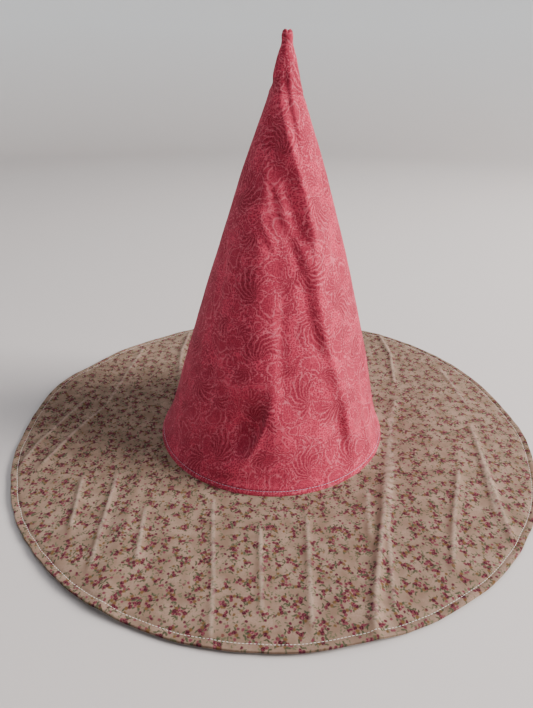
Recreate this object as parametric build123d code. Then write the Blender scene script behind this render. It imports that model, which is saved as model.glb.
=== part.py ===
from build123d import *
import math
import os

# Sewn cotton conical hat: a tall cone-shaped crown on a wide flat brim, made of cloth plies.
# Millimetres. +Z runs up the crown's axis, the brim's underside lies on Z = 0, +Y is the back.

# ---- driving sizes -------------------------------------------------------------------------------
brim_radius = 210.0          # finished outer edge of the brim
crown_base_radius = 93.2     # folded lower edge of the crown, where it meets the brim
crown_height = 295.0         # from the floor to the tip
crown_bulge = 3.8            # how far the crown's side bows out from a straight line
flare_height = 19.0          # the crown's lower border flares outwards over this height
flare_reach = 8.4            # and by this much
point_height = 32.5          # the turned point above the cone proper
point_base_radius = 10.4     # where it starts
point_top_radius = 3.0       # where it ends, blunt
point_crown = 2.0            # rise of the blunt end

cloth = 0.4                  # quilting cotton
crown_stiffener = 0.8        # interfacing inside the crown
thread_width = 0.4           # sewing thread, as it lies flattened in its seam
thread_height = 0.15
ply_gap = 0.05               # clearance between plies that lie on each other
lining_gap = 1.6             # the lining hangs loosely inside the crown

edge_allowance = 8.0         # turned in at the brim's outer edge
seam_allowance = 6.5         # turned up inside the crown where it meets the brim
lining_hem = 8.0             # turned up at the lining's lower edge
back_allowance = 9.0         # each side of a back seam, at the foot of the crown
edge_topstitch = 6.5         # from the brim's edge to its topstitching
crown_topstitch = 3.4        # height of the crown's topstitching above its folded edge
base_seam_lift = 1.0         # height of the construction seam above the brim
hem_lift = 0.5               # the lining's fold stays this far above the floor
lining_tip_drop = 26.0       # the lining's point stops this far below the crown's

# ---- the brim's stack, from the floor up ---------------------------------------------------------
# The interfacing is trimmed out of the edge allowance and is as thick as what replaces it there.
brim_stiffener = 2 * cloth + thread_height + 2 * ply_gap
brim_thickness = 2 * (cloth + ply_gap) + brim_stiffener
seat = brim_thickness + ply_gap           # the crown's folded edge sits here

# ---- depths below the crown's outer face ---------------------------------------------------------
crown_hem_depth = cloth + ply_gap
top_turnup_depth = crown_hem_depth + cloth + ply_gap
underside_turnup_depth = top_turnup_depth + cloth + ply_gap
base_thread_depth = underside_turnup_depth + cloth + ply_gap
stiffener_depth = cloth + ply_gap
allowance_depth = stiffener_depth + crown_stiffener + ply_gap
back_thread_depth = allowance_depth + cloth + ply_gap
lining_depth = stiffener_depth + crown_stiffener + lining_gap
lining_turnup_depth = lining_depth - ply_gap - cloth
lining_thread_depth = lining_turnup_depth - ply_gap - thread_height

# ---- the crown's half section: a flared border, a bowed side and a narrow point ------------------
flare_slope = flare_reach / flare_height
flare_secant = math.hypot(1, flare_slope)
shoulder = crown_height - point_height    # height where the point starts
foot = Vector(crown_base_radius - flare_reach, 0, seat + flare_height)
chord = Vector(point_base_radius, 0, shoulder) - foot
inward = Vector(-chord.Z, 0, chord.X).normalized()
bow_radius = (chord.length ** 2 / 4 + crown_bulge ** 2) / (2 * crown_bulge)
bow_centre = foot + chord * 0.5 + inward * (bow_radius - crown_bulge)


def on_flare(depth, height):
    """Point of the flared border at a height, moved in by depth."""
    return Vector(crown_base_radius - (height - seat) * flare_slope - depth * flare_secant, 0, height)


def on_bow(depth, height):
    """Point of the bowed side at a height, moved in by depth."""
    rise = height - bow_centre.Z
    return Vector(bow_centre.X + math.sqrt((bow_radius - depth) ** 2 - rise ** 2), 0, height)


def corner(depth):
    """Where the flared border meets the bowed side, at a depth: a line crossing a circle."""
    along = Vector(-flare_slope, 0, 1) / flare_secant
    start = on_flare(depth, seat) - bow_centre
    lean = start.dot(along)
    travel = -lean - math.sqrt(lean ** 2 - start.dot(start) + (bow_radius - depth) ** 2)
    return on_flare(depth, seat) + along * travel


def contour(depth, low, high):
    """Edges of the crown's side at a depth, from the height low up to the height high."""
    edges = []
    start = on_bow(depth, low)
    bend = corner(depth)
    if low < bend.Z:
        edges.append(Line(on_flare(depth, low), bend).edge())
        start = bend
    middle = on_bow(depth, (start.Z + high) / 2)
    edges.append(ThreePointArc(start, middle, on_bow(depth, high)).edge())
    return edges


def outline(outer, inner, top=()):
    """Face between an outer and an inner run of edges that both go upwards; top joins their ends."""
    bridge = [outer[-1] @ 1, *top, inner[-1] @ 1]
    edges = outer + inner
    edges += [Line(a, b).edge() for a, b in zip(bridge, bridge[1:])]
    edges.append(Line(inner[0] @ 0, outer[0] @ 0).edge())
    return make_face(edges)


def ply(depth, thickness, low, high):
    """Half section of a cloth ply that follows the crown's side."""
    return outline(contour(depth, low, high), contour(depth + thickness, low, high))


def polygon(*points):
    """Half section from corner points, each (radius, height) or a Vector."""
    corners = [p if isinstance(p, Vector) else Vector(p[0], 0, p[1]) for p in points]
    return make_face(Polyline(*corners, close=True).edges())


def spin(face, degrees=360.0, start=0.0):
    """Turn a half section about the crown's axis, from the angle start; +Y is at 90 degrees."""
    return revolve(face, Axis.Z, degrees).rotate(Axis.Z, start)


def flat_ring(radius, low):
    """A row of stitches lying flat, as one thread."""
    near, far = radius - thread_width / 2, radius + thread_width / 2
    return spin(polygon((near, low), (far, low), (far, low + thread_height), (near, low + thread_height)))


def flare_ring(depth, height):
    """A row of stitches lying on the flared border, as one thread."""
    low, high = height - thread_width / 2, height + thread_width / 2
    inner = depth + thread_height
    return spin(polygon(on_flare(depth, low), on_flare(depth, high), on_flare(inner, high), on_flare(inner, low)))


def back_strip(face, width):
    """A narrow strip of a half section, standing on the back seam."""
    return extrude(face, width / 2, both=True).rotate(Axis.Z, 90)


def pressed_open(depth, low, high, gap_side):
    """Both allowances of a back seam, pressed open at a depth, and the web that joins them to their cloth.

    The allowances taper with the cone, as they are trimmed on a real hat. gap_side is how far the web
    reaches to the cloth it belongs to: positive inwards, negative outwards.
    """
    spread = math.degrees(back_allowance / foot.X)
    web_spread = math.degrees(cloth / foot.X)
    flaps = spin(ply(depth, cloth, low, high), 2 * spread, 90 - spread)
    near, far = sorted((depth + cloth / 2, depth + cloth / 2 + gap_side))
    web = spin(ply(near, far - near, low, high), 2 * web_spread, 90 - web_spread)
    return flaps + web


# ---- the crown ---------------------------------------------------------------------------------
turnup_top = seat + seam_allowance / flare_secant      # height of the raw edges inside the flare
interfacing_low = turnup_top + 1.0
interfacing_high = shoulder - 6.0
allowance_low = interfacing_low + 1.0
allowance_high = interfacing_high - 12.0


def crown_outer():
    """The cotton cone with its closed point, its turned-up lower edge and its back seam allowances."""
    skin = contour(0, seat, shoulder)
    lining_side = contour(cloth, seat, shoulder)
    blunt = crown_height - point_crown
    apex = [(point_top_radius, blunt), (0, crown_height), (0, crown_height - cloth),
            (point_top_radius - cloth, blunt - cloth / 2)]
    shell = spin(outline(skin, lining_side, [Vector(r, 0, z) for r, z in apex]))
    inside = crown_hem_depth + cloth
    turned = spin(polygon(
        on_flare(cloth / 2, seat), on_flare(inside, seat), on_flare(inside, turnup_top),
        on_flare(crown_hem_depth, turnup_top), on_flare(crown_hem_depth, seat + cloth),
        on_flare(cloth / 2, seat + cloth)))
    reach = -allowance_depth
    return shell + turned + pressed_open(allowance_depth, allowance_low, allowance_high, reach)


def crown_interfacing():
    """A stiff sheet rolled inside the crown, its edges butted at the back with room for the seam."""
    slot = 3 * math.degrees(cloth / foot.X)
    return spin(ply(stiffener_depth, crown_stiffener, interfacing_low, interfacing_high),
                360 - 2 * slot, 90 + slot)


def crown_lining():
    """The inner cone, closed at its point, with a turned-up hem and its own back seam allowances."""
    high = crown_height - lining_tip_drop - 22.0
    tip = crown_height - lining_tip_drop
    end = [(point_top_radius, tip - 3.0), (0, tip - 1.0), (0, tip - 1.0 - cloth),
           (point_top_radius - cloth, tip - 3.0 - cloth)]
    faces = contour(lining_depth, hem_lift, high), contour(lining_depth + cloth, hem_lift, high)
    shell = spin(outline(*faces, [Vector(r, 0, z) for r, z in end]))
    middle = lining_depth + cloth / 2
    hem_top = hem_lift + lining_hem
    turned = spin(polygon(
        on_flare(lining_turnup_depth, hem_lift), on_flare(middle, hem_lift),
        on_flare(middle, hem_lift + cloth), on_flare(lining_turnup_depth + cloth, hem_lift + cloth),
        on_flare(lining_turnup_depth + cloth, hem_top), on_flare(lining_turnup_depth, hem_top)))
    reach = middle - (lining_turnup_depth + cloth / 2)
    return shell + turned + pressed_open(lining_turnup_depth, allowance_low, allowance_high, reach)


# ---- the brim ----------------------------------------------------------------------------------
edge_inner = brim_radius - edge_allowance
stiffener_inner = on_flare(underside_turnup_depth, cloth).X + 0.5
stiffener_outer = edge_inner - 0.3
top_low = brim_thickness - cloth


def brim_top():
    """The upper cloth ring: folded in at the outer edge, turned up inside the crown at the inner one."""
    fold = top_low - ply_gap
    inside = top_turnup_depth + cloth
    return spin(polygon(
        on_flare(top_turnup_depth, turnup_top), on_flare(top_turnup_depth, brim_thickness),
        (brim_radius, brim_thickness), (brim_radius, fold - cloth), (edge_inner, fold - cloth),
        (edge_inner, fold), (brim_radius - cloth, fold), (brim_radius - cloth, top_low),
        on_flare(inside, top_low), on_flare(inside, turnup_top)))


def brim_underside():
    """The lower cloth ring, folded the same way, with a bed pressed into it by the lower thread."""
    fold = cloth + ply_gap
    inside = underside_turnup_depth + cloth
    sheet = spin(polygon(
        on_flare(inside, turnup_top), on_flare(inside, 0), (brim_radius, 0),
        (brim_radius, fold + cloth), (edge_inner, fold + cloth), (edge_inner, fold),
        (brim_radius - cloth, fold), (brim_radius - cloth, cloth),
        on_flare(underside_turnup_depth, cloth), on_flare(underside_turnup_depth, turnup_top)))
    line = brim_radius - edge_topstitch
    half = thread_width / 2 + ply_gap
    depth = thread_height + ply_gap
    groove = spin(polygon((line - half, -1), (line + half, -1), (line + half, depth), (line - half, depth)))
    return sheet - groove


def brim_interfacing():
    """A stiff ring between the two cloths, trimmed short of both seams."""
    low, high = cloth + ply_gap, cloth + ply_gap + brim_stiffener
    return spin(polygon((stiffener_inner, low), (stiffener_outer, low),
                        (stiffener_outer, high), (stiffener_inner, high)))


# ---- the threads -------------------------------------------------------------------------------
def seam_strip(depth):
    """The thread of a back seam, down the middle of its allowances."""
    return back_strip(ply(depth, thread_height, allowance_low, allowance_high), thread_width)


pieces = {
    "crown_outer": crown_outer(),
    "crown_interfacing": crown_interfacing(),
    "crown_lining": crown_lining(),
    "brim_top": brim_top(),
    "brim_interfacing": brim_interfacing(),
    "brim_underside": brim_underside(),
    "crown_back_seam_thread": seam_strip(back_thread_depth),
    "lining_back_seam_thread": seam_strip(lining_thread_depth),
    "crown_to_brim_seam_thread": flare_ring(base_thread_depth, seat + base_seam_lift),
    "crown_topstitch_needle_thread": flare_ring(-ply_gap - thread_height, seat + crown_topstitch),
    "crown_topstitch_bobbin_thread": flare_ring(base_thread_depth, seat + crown_topstitch),
    "brim_edge_seam_thread": flat_ring(brim_radius - 2 * cloth, 2 * (cloth + ply_gap)),
    "brim_topstitch_needle_thread": flat_ring(brim_radius - edge_topstitch, brim_thickness + ply_gap),
    "brim_topstitch_bobbin_thread": flat_ring(brim_radius - edge_topstitch, 0),
    "lining_hem_slipstitch_thread": flare_ring(base_thread_depth, hem_lift + thread_width),
}

os.makedirs("parts", exist_ok=True)
for name, piece in pieces.items():
    export_step(piece, f"parts/{name}.step")
    print(f"{name:32s} {piece.volume:10.2f} mm3  solids {len(piece.solids())}")
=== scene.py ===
# %% [markdown]
# # A sewn conical hat
# The hat is two cut shapes of quilting cotton: a cone with a flared foot, and a flat ring. Each has a
# stiff ply behind it. Everything here is made as a surface from numbers, in the place that the
# engineering model gives it, and then dressed with woven cotton and sewing thread.
# All sizes in the cells are millimetres. They become metres only when a mesh is filled.

# %% Load the engineering model
import math

import bpy
import numpy as np
from mathutils import Matrix, Vector


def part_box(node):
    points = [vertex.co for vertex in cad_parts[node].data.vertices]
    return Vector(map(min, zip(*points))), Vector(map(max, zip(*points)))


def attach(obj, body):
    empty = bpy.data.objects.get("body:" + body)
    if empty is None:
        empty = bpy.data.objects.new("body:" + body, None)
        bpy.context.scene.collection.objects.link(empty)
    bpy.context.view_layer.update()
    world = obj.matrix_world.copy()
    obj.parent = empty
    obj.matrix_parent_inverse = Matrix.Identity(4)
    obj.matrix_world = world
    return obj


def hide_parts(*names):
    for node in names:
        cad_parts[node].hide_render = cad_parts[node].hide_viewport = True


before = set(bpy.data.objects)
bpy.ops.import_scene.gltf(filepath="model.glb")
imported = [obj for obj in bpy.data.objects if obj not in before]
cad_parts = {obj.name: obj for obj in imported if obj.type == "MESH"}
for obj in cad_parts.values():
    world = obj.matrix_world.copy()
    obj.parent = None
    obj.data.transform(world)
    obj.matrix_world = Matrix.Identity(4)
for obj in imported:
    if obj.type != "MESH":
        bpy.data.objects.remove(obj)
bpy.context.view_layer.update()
MM = 0.001


def extent(node):
    """Lowest and highest corner of an engineering piece, in millimetres."""
    low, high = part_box(node)
    return np.array(low) / MM, np.array(high) / MM


brim_radius = float(extent("brim_top")[1][0])
seat = float(extent("crown_outer")[0][2])
foot_radius, height = (float(v) for v in extent("crown_outer")[1][[0, 2]])
print(f"brim radius {brim_radius:.1f}, crown foot {foot_radius:.1f}, height {height:.1f}, seat {seat:.2f}")

# %% [markdown]
# ## The bare shape of the crown
# The crown's side is a flared border below, one long gentle arc above it, and a narrow turned point.
# It could be drawn as a curve and spun, but every ply and every stitch has to follow the same side at
# its own depth, so the radius is a function of height and depth.

# %% Sizes of the plies and the crown's side
cloth = 0.4                    # thickness of quilting cotton
gap = 0.05                     # air between plies that lie on each other
hem = 2 * cloth + gap          # cloth folded back on itself
hem_round = hem / 2            # radius of a folded edge
fold_length = 1.3              # length of cloth that a folded edge takes up
back_allowance = 9.0           # seam allowance of the back seams
stiffening = 0.8               # thickness of the pressed interfacing
flare_height, flare_reach = 19.0, 8.4
shoulder = height - 32.5       # where the narrow point starts
shoulder_radius = 10.4
bow_rise = 3.8                 # how far the side bows out from a straight line
brim_thickness = 1.95
stitch_line = brim_radius - 4.4
crown_stitch = seat + 3.4      # height of the crown's topstitching
edge_seam = brim_radius - 0.8  # radius of the seam inside the brim's edge
turnup_top = seat + 5.95       # height of the raw edges inside the flare

flare_slope = flare_reach / flare_height
secant = math.hypot(1, flare_slope)
chord = np.array([shoulder_radius - foot_radius + flare_reach, shoulder - seat - flare_height])
span = float(np.hypot(*chord))
bow_radius = (span ** 2 / 4 + bow_rise ** 2) / (2 * bow_rise)
inward = np.array([-chord[1], chord[0]]) / span
bow_centre = (np.array([foot_radius - flare_reach, seat + flare_height]) + chord / 2
              + inward * (bow_radius - bow_rise))


def ease(t):
    """0 below 0, 1 above 1, and 3t^2 - 2t^3 between."""
    t = np.clip(t, 0.0, 1.0)
    return t * t * (3 - 2 * t)


def hill(distance, width):
    """A bell, 1 in the middle: e to the power of minus (distance / width) squared."""
    return np.exp(-(distance / width) ** 2)


def crown_radius(z, depth=0.0):
    """Radius of the crown's side at a height, moved inwards by depth.

    The larger of the flare's straight line and the bowed arc, joined softly over 2 mm: half of
    (a + b + root of ((a - b)^2 + 2^2)). Above the shoulder it narrows to a small knob and closes.
    """
    z = np.asarray(z, float)
    flare = foot_radius - (z - seat) * flare_slope
    bow = bow_centre[0] + np.sqrt(bow_radius ** 2 - (z - bow_centre[1]) ** 2)
    side = (flare + bow + np.sqrt((flare - bow) ** 2 + 4.0)) / 2 - 0.35
    side = side + 0.7 * hill(z - seat - 3.6, 3.0)
    stations = [shoulder - 6, shoulder, 271, 279, 283, 285.5, 288, 291, 293.4, 294.6, height]
    widths = [12.75, 10.5, 8.2, 6.2, 4.9, 3.9, 3.55, 3.75, 3.1, 1.9, 0.02]
    point = np.interp(z, stations, widths)
    both = np.where(z > shoulder - 4, point, side)
    return np.maximum(both - depth * np.where(z < 21, secant, 1.05), 0.02)


for z in (6.3, 21, 42, 105, 189, 262, 290):
    print(f"radius at {z:5.1f} mm: {float(crown_radius(z)):6.2f}")

# %% [markdown]
# ## How the crown is worn and creased
# The real crown was folded in a cupboard. It leans a little to one side, its front is pressed flat
# between two soft edges, and there are dents just above the hem. This could be a cloth simulation,
# but the creases have known places, so each one is added as a fold along a line.
# A fold is a small section (height against distance from the line) carried up the crown.

# %% Folds of the crown
def ripple(points, wavelength, seed, waves=9):
    """Smooth random height, about -1 to 1: the mean of sine waves in random directions, times 1.7."""
    draw = np.random.default_rng(seed)
    ways = draw.normal(size=(waves, 3))
    ways /= np.linalg.norm(ways, axis=1, keepdims=True)
    pitch = wavelength * draw.uniform(0.75, 1.4, waves)
    phase = draw.uniform(0, 2 * np.pi, waves)
    total = np.zeros(points.shape[:-1])
    for way, length, start in zip(ways, pitch, phase):
        total += np.sin(points @ way * 2 * np.pi / length + start)
    return total / waves * 1.7


def along(z, line):
    """Angle of a line at each height, from its points (height, angle), smoothed over 14 mm."""
    line = sorted(line)
    tops, angles = [p[0] for p in line], [p[1] for p in line]
    return sum(np.interp(z + shift, tops, angles) for shift in (-7, -3.5, 0, 3.5, 7)) / 5


def fold(z, angle, line, section, fade):
    """A fold up the crown: its section's height at the distance round the crown from its line.

    The section is (distance, height) pairs, eased from each to the next, so its ridges and valleys
    are round. The fold fades out over fade mm past each end.
    """
    tops = [p[0] for p in line]
    away = np.radians((angle - along(z, line) + 180) % 360 - 180) * np.maximum(crown_radius(z), 4)
    tall = 0.0
    for (start, low), (end, high) in zip(section[:-1], section[1:]):
        tall = tall + (high - low) * ease((away - start) / (end - start))
    ends = ease((z - min(tops) + fade) / fade) * ease((max(tops) + fade - z) / fade)
    return tall * ends


def dent(z, angle, where, size, depth):
    """A round hollow: minus depth times a bell in height and in distance round the crown."""
    away = np.radians((angle - where[1] + 180) % 360 - 180) * crown_radius(z)
    return -depth * np.exp(-((z - where[0]) / size[0]) ** 2 - (away / size[1]) ** 2)


left_edge = [(20, 2), (41, 0), (56, -6), (83, -14), (110, -19), (135, -24), (170, -30), (200, -34)]
right_edge = [(14, 43), (49, 43), (82, 37), (109, 32), (143, 29), (164, 30), (176, 31), (197, 27),
              (212, 21), (225, 14), (238, 3), (246, -7), (256, -20), (266, -32)]
# pressed flats: the two lines, heights and the depth at each, and how soft the two ends are. They are
# the front, a bright one right of it, a dark one left of it that takes over above, and two at the back.
flats = [
    (left_edge, right_edge, [14, 45, 70, 165, 205, 225], [0.3, 2.4, 3.8, 3.6, 1.4, 0], 0.9, 0.12),
    (right_edge, [(0, 84), (290, 84)], [10, 40, 90, 200, 250, 280], [0, 1.6, 2.6, 2.4, 1.0, 0], 0.12, 0.9),
    ([(0, -100), (290, -104)], left_edge, [12, 50, 120, 165, 205], [0, 1.4, 1.6, 0.9, 0], 0.8, 0.9),
    ([(0, -108), (290, -108)], right_edge, [165, 210, 240, 262, 276], [0, 2.2, 1.7, 0.7, 0], 0.7, 0.10),
    ([(0, 100), (290, 96)], [(0, 178), (290, 178)], [15, 60, 160, 285], [0, 2.0, 1.6, 0], 0.7, 0.3),
    ([(0, -178), (290, -178)], [(0, -108), (290, -100)], [15, 60, 160, 285], [0, 2.4, 1.4, 0], 0.3, 0.7),
]
# folds: the points of the line, the section across it, and the fade at its ends
folds = [
    # the broad dark fold beside the front edge in the upper half: it comes to a point at the edge
    ([(236, 4), (225, 14), (212, 21), (197, 27), (184, 31), (176, 32)],
     [(-22, 0), (-12.5, -3.2), (-0.5, 0.9), (6, 0)], 16),
    # a soft ridge that runs down to that point, and the hollow under it
    ([(224, -14), (205, -6), (188, 2), (170, 14), (158, 22)],
     [(-12, -0.2), (-6, -1.3), (1.5, 0.9), (9, 0)], 12),
    ([(183, -27), (175, -17), (170, -8)], [(-9, 0), (-4, -0.7), (1.5, 0.7), (7, 0)], 9),
    # the shadowed strip beside the edge halfway down, in two lengths
    ([(141, 28), (128, 29), (114, 31), (101, 34)], [(-17, 0), (-8, -1.7), (-1, 0.2), (9, 0)], 12),
    ([(88, 36), (74, 38), (62, 40)], [(-15, 0), (-7, -0.5), (0, 0.1), (8, 0)], 12),
    # a faint upright fold down the middle of the front
    ([(132, 1), (104, 1), (74, 3)], [(-13, 0), (-6, 0.5), (0, -0.6), (7, 0)], 16),
    # a bright small fold near the tip, two above the hem at the right, and one at the left
    ([(268, -10), (258, 4), (246, 12), (232, 20)], [(-4, 0.2), (0, -0.5), (3.5, 0.5), (8, 0)], 10),
    ([(62, 59), (30, 58), (10, 57)], [(-6, 0), (0, 0.9), (6, 0)], 10),
    ([(70, 74), (34, 71), (12, 70)], [(-5, 0), (0, 0.6), (7, 0)], 10),
    ([(150, -52), (90, -40), (60, -37)], [(-14, 0), (-5, -0.6), (1, 0.4), (10, 0)], 24),
]
# round dents: (height, angle), their half sizes, and depth
dents = [((190, -17), (8, 6), 1.5), ((265, -72), (3.0, 12), 1.1), ((70, -140), (26, 22), 2.2),
         ((34, 150), (16, 18), 2.0)]


def facet(z, angle, left, right, depth, soft_left, soft_right):
    """A pressed flat: minus depth times 1 - t^2, where t runs from -1 to 1 between two lines.

    A soft end is eased in over that much of t, so no edge shows there.
    """
    low, high = along(z, left), along(z, right)
    t = ((angle - (low + high) / 2 + 180) % 360 - 180) / ((high - low) / 2)
    flat = -depth * np.clip(1 - t * t, 0, 1)
    return flat * ease((t + 1) / soft_left) * ease((1 - t) / soft_right)


def crown_push(z, angle):
    """How far the crown's side stands out (+) or in (-) at a height and an angle in degrees.

    The sum of the pressed flats, the folds, the dents and small ripples, fading out at the hem.
    """
    z, angle = np.broadcast_arrays(np.asarray(z, float), np.asarray(angle, float))
    radius = crown_radius(z)
    turn = np.radians(angle)
    points = np.stack([radius * np.sin(turn), -radius * np.cos(turn), z * 0.55], -1)
    push = 0.0
    for left, right, heights, depths, *soft in flats:
        push = push + facet(z, angle, left, right, np.interp(z, heights, depths), *soft)
    for line, section, fade in folds:
        push += fold(z, angle, line, section, fade)
    for where, size, depth in dents:
        push += dent(z, angle, where, size, depth)
    # the dent above the hem, left of the middle: its lower lip is sharp and runs up to the right,
    # where it turns into an upright wall
    lip_height = np.interp(angle, [-44, -30, -20, -14, -9, -4], [8, 15, 23, 29, 42, 66])
    inside_lip = ease((z - lip_height + 1.5) / 6.5) * ease((-3.0 - angle) / 6.5)
    push -= 10.5 * hill(z - 44, 21) * hill(np.minimum(angle + 10, 0), 15) * inside_lip
    push += 1.5 * hill(z - lip_height + 5.5, 6.0) * hill(angle + 19, 14)
    push += 1.0 * hill(z - 46, 20) * hill(angle + 0.5, 5.0)
    # the dent at the right, cut off by a sharp upright edge
    right_of = ease((44.0 - angle) / 5.5)
    push -= 4.8 * hill(z - 38, 17) * hill(np.minimum(angle - 38, 0), 9) * right_of
    push += 0.4 * hill(z - 34, 18) * hill(angle - 47, 4.0)
    # the back seam draws the cloth in and puckers it
    seam = np.radians((angle + 360) % 360 - 180) * radius
    push -= (0.9 + 0.35 * np.sin(z / 2.1) * hill(seam, 9)) * hill(seam, 1.6)
    push += 0.4 * ripple(points, 34, 3) + 0.16 * ripple(points, 15, 4)
    push += 0.16 * ripple(points * [1, 1, 1.6], 7.5, 5) * ease((z - 150) / 60)
    return push * ease((z - seat - 1.5) / 13) * np.interp(z, [262, 286], [1, 0.25])


lean_at_foot, lean_above = -1.9, 8.6     # to the right: at the foot, and what the tip adds


def crown_at(z, angle, depth=0.0, push=None):
    """Point of the crown's side at a height, an angle from the front towards +X, and a depth."""
    z, angle, depth = np.broadcast_arrays(*(np.asarray(v, float) for v in (z, angle, depth)))
    if push is None:
        push = crown_push(z, angle)
    # the row of stitches pinches the folded hem towards its middle depth
    pinch = 0.75 * hill(z - crown_stitch, 0.85) * (z < 9) * (hem - np.clip(depth, 0, hem))
    radius = np.maximum(crown_radius(z, depth) + push - pinch, 0.02)
    turn = np.radians(angle)
    lean = lean_at_foot + lean_above * (1 - np.exp(-z / 140))
    # the turned point ends in two small lips with a notch between
    notch = -1.1 * hill(radius * np.sin(turn) - 0.2, 0.8) * ease((z - 291) / 3)
    return np.stack([radius * np.sin(turn) + lean, -radius * np.cos(turn), z + notch], -1)


# %% [markdown]
# ## Filling a mesh
# Every cloth piece is a closed ring of columns. Its rows follow a section: down the good side, round
# the fold and back up the wrong side, so the cloth has two real faces and a real edge. Thickness
# could come from a Solidify modifier, but then the turned hems would have to be separate sheets.

# %% A grid of points becomes a piece
def fill_mesh(name, *parts):
    """A smooth-shaded object from parts: (points in mm, corners, corners per face, flat place)."""
    base = np.cumsum([0] + [len(part[0]) for part in parts[:-1]])
    vertices = np.concatenate([part[0] for part in parts])
    corners = np.concatenate([part[1] + first for part, first in zip(parts, base)])
    sizes = np.concatenate([part[2] for part in parts])
    mesh = bpy.data.meshes.new(name)
    mesh.vertices.add(len(vertices))
    mesh.vertices.foreach_set("co", (vertices * MM).astype(np.float32).ravel())
    mesh.loops.add(len(corners))
    mesh.loops.foreach_set("vertex_index", corners.astype(np.int32))
    mesh.polygons.add(len(sizes))
    starts = np.concatenate([[0], np.cumsum(sizes)[:-1]])
    mesh.polygons.foreach_set("loop_start", starts.astype(np.int32))
    mesh.polygons.foreach_set("use_smooth", np.ones(len(sizes), bool))
    mesh.update(calc_edges=True)
    if parts[0][3] is not None:
        flat = np.concatenate([part[3] for part in parts])
        mesh.uv_layers.new(name="cloth").uv.foreach_set("vector", (flat * MM).astype(np.float32).ravel())
    mesh.validate()
    piece = bpy.data.objects.new(name, mesh)
    bpy.context.scene.collection.objects.link(piece)
    print(f"{name}: {len(vertices)} points, {len(corners) - 2 * len(sizes)} triangles")
    return piece


def quads(i, j, rows, columns):
    """Corners of the faces at rows i and columns j of closed rings; a row past the last is the first."""
    below, beside = (i + 1) % rows, (j + 1) % columns
    return np.stack([i * columns + j, below * columns + j, below * columns + beside,
                     i * columns + beside], -1).ravel()


def rings(grid, uv, poles=False):
    """Faces over rows of closed rings. grid is (rows, columns, 3), uv is (rows, columns + 1, 2).

    With poles, the first and last rings are drawn into their middles. Without, the last row joins
    the first, so the section is a closed loop.
    """
    rows, columns = grid.shape[:2]
    count = rows - 1 if poles else rows
    i, j = np.indices((count, columns))
    below = (i + 1) % rows
    corners = [quads(i, j, rows, columns)]
    flat = [np.stack([uv[i, j], uv[below, j], uv[below, j + 1], uv[i, j + 1]], 2).reshape(-1, 2)]
    vertices, sizes = [grid.reshape(-1, 3)], [np.full(count * columns, 4)]
    if poles:
        j, beside = np.arange(columns), (np.arange(columns) + 1) % columns
        end = (rows - 1) * columns
        vertices.append(np.stack([grid[0].mean(0), grid[-1].mean(0)]))
        top = np.stack([np.full(columns, rows * columns), j, beside], -1)
        bottom = np.stack([end + j, np.full(columns, rows * columns + 1), end + beside], -1)
        corners += [top.ravel(), bottom.ravel()]
        middle = np.stack([uv[0].mean(0), uv[-1].mean(0)])[:, None] + np.zeros((1, columns, 2))
        flat += [np.stack([middle[0], uv[0, :-1], uv[0, 1:]], 1).reshape(-1, 2),
                 np.stack([uv[-1, :-1], middle[1], uv[-1, 1:]], 1).reshape(-1, 2)]
        sizes.append(np.full(2 * columns, 3))
    return np.concatenate(vertices), np.concatenate(corners), np.concatenate(sizes), np.concatenate(flat)


# %% Where a point lies on the flat cut cloth
slant_z = np.linspace(0, height, 900)
slant_step = np.hypot(np.diff(slant_z), np.diff(crown_radius(slant_z)))
slant = np.concatenate([np.cumsum(slant_step[::-1])[::-1], [0]])
sector = foot_radius / float(np.interp(seat, slant_z, slant))


def cone_uv(z, angle, extra=0.0):
    """Place on the flat sector: distance from the tip along the side, at the angle times a constant.

    extra is how much further out a turned hem lies on the flat cloth.
    """
    far = np.interp(z, slant_z, slant) + extra
    turn = np.radians(angle) * sector
    return np.stack([far * np.sin(turn), -far * np.cos(turn)], -1)


print(f"the crown is cut as a sector of {math.degrees(2 * math.pi * sector):.1f} degrees")

# %% [markdown]
# ## The crown's three plies
# The good cotton outside, a stiff sheet behind it, and a loose cotton lining inside. The outer ply
# is folded under at the foot, where its hem shows as a rounded edge below the stitching.

# %% Sections of the crown's plies
def run(*pieces):
    """Rows of a section: each piece is (first, last, count), joined one after another."""
    return np.concatenate([np.linspace(*piece) for piece in pieces])


def cone_ply(z, depth, extra, columns, push=crown_push, poles=True):
    """Rings of a ply, from its section's heights and depths."""
    turn = np.linspace(-180, 180, columns + 1)
    rows = z[:, None] + np.zeros(columns)
    stand = push(rows, turn[:-1])
    grid = crown_at(rows, turn[:-1], depth[:, None], stand)
    return rings(grid, cone_uv(z[:, None], turn, extra[:, None]), poles)


def back_flaps(depth, push=crown_push):
    """The two allowances of the back seam, pressed open: a narrow strip inside the ply."""
    up = np.linspace(243, 9.95, 60)
    half = math.degrees(back_allowance / (foot_radius - flare_reach))
    turn = 180 + run((-half, half, 9), (half, -half, 9))
    rows = up[:, None] + np.zeros(len(turn))
    grid = crown_at(rows, turn, depth + np.repeat([0.0, cloth], 9), push(rows, turn))
    return rings(grid, cone_uv(up[:, None], np.append(turn, turn[0])), True)


def joined(section):
    """Heights, depths and extra lengths of a section's parts, one after another."""
    whole = [[np.broadcast_to(value, len(z)) for value in (z, depth, extra)] for z, depth, extra in section]
    return [np.concatenate(part) for part in zip(*whole)]


roll = np.linspace(0, np.pi, 7)[1:-1]

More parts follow.
